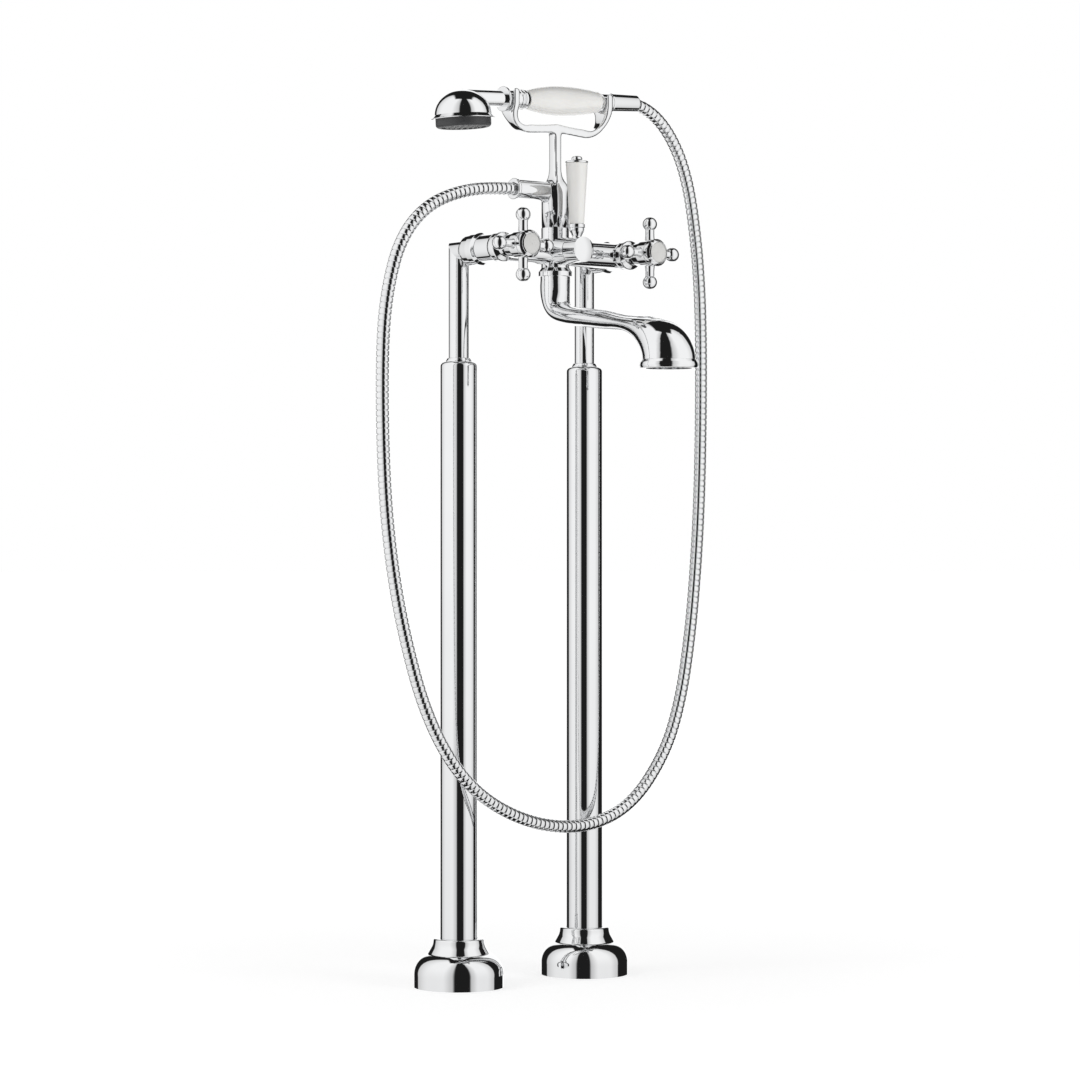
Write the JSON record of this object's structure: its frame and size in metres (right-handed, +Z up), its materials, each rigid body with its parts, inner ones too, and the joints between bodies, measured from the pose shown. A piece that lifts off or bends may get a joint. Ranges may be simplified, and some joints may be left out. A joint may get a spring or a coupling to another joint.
{
  "type": "floor standing bath filler",
  "caption": "Bath filler on two floor standpipes, with cross handles, a lever diverter, a swan spout and a hand shower resting in a cradle on a ribbed hose.",
  "frame": {"origin": "on the floor, midway between the two standpipes", "axes": "+Z up; +X from the standpipe under the shower head to the one under the hose end; -Y towards the bath, where the spout and the handles point"},
  "size_m": [0.4511, 0.3238, 0.9698],
  "materials": {
    "chrome": "polished",
    "porcelain": "glazed",
    "brass": "machined",
    "steel": "machined",
    "rubber": "matte",
    "plastic": "matte",
    "alumina": "lapped",
    "hose": "ribbed, polished",
    "spray": "satin"
  },
  "bodies": {
    "standpipe_mixer": {"bonnet_left": "chrome", "bonnet_right": "chrome", "ceramic_discs": "alumina", "check_valves": "plastic", "column_grub_screws": "steel", "column_tube_left": "chrome", "column_tube_right": "chrome", "diverter_cartridge": "brass", "floor_flange_left": "brass", "floor_flange_right": "brass", "headwork_left": "brass", "headwork_right": "brass", "hose_nut": "chrome", "hose_washer": "rubber", "mixer_body": "chrome", "neck_collar": "chrome", "pipe_gland_left": "chrome", "pipe_gland_right": "chrome", "riser_cradle": "chrome", "shower_hose": "hose", "supply_elbow_left": "chrome", "supply_elbow_right": "chrome", "supply_pipe_left": "chrome", "supply_pipe_right": "chrome", "union_collar_left": "chrome", "union_collar_right": "chrome", "union_washers": "rubber"},
    "handle_left": {"cross_handle_left": "chrome", "handle_screw_left": "steel", "index_bezel_left": "chrome", "index_disc_left": "porcelain", "valve_spindle_left": "brass"},
    "handle_right": {"cross_handle_right": "chrome", "handle_screw_right": "steel", "index_bezel_right": "chrome", "index_disc_right": "porcelain", "valve_spindle_right": "brass"},
    "diverter_lever": {"diverter_cap": "chrome", "diverter_knob": "chrome", "diverter_spindle": "brass", "lever_cup": "chrome", "lever_finial": "chrome", "lever_grip": "porcelain", "lever_rod": "steel"},
    "swivel_spout": {"flow_grid": "steel", "spout": "chrome", "spout_lip": "chrome", "spout_seals": "rubber"},
    "hand_shower": {"front_ferrule": "chrome", "handset_core": "brass", "handset_grip": "porcelain", "head_ring": "chrome", "hose_cone": "chrome", "rear_ferrule": "chrome", "shower_head": "chrome", "spray_plate": "spray"},
    "rosette_left": {"rosette_left": "chrome"},
    "rosette_right": {"rosette_right": "chrome"}
  },
  "joints": [
    {"name": "hot_turn", "type": "hinge", "parent": "standpipe_mixer", "child": "handle_left", "pos_m": [-0.087, -0.112, 0.79], "axis": [0, -1, 0], "range_deg": [0, 90]},
    {"name": "cold_turn", "type": "hinge", "parent": "standpipe_mixer", "child": "handle_right", "pos_m": [0.087, -0.112, 0.79], "axis": [0, -1, 0], "range_deg": [-90, 0]},
    {"name": "diverter_turn", "type": "hinge", "parent": "standpipe_mixer", "child": "diverter_lever", "pos_m": [0, -0.094, 0.79], "axis": [0, -1, 0], "range_deg": [-45, 45]},
    {"name": "spout_swing", "type": "hinge", "parent": "standpipe_mixer", "child": "swivel_spout", "pos_m": [0, -0.057, 0.7636], "axis": [0, 0, 1], "range_deg": [-60, 60]},
    {"name": "handset_lift", "type": "slide", "parent": "standpipe_mixer", "child": "hand_shower", "axis": [0, 0, 1], "range_m": [0, 0.06], "deforming": ["shower_hose"]},
    {"name": "rosette_left_lift", "type": "slide", "parent": "standpipe_mixer", "child": "rosette_left", "axis": [0, 0, 1], "range_m": [0, 0.06]},
    {"name": "rosette_right_lift", "type": "slide", "parent": "standpipe_mixer", "child": "rosette_right", "axis": [0, 0, 1], "range_m": [0, 0.06]}
  ]
}
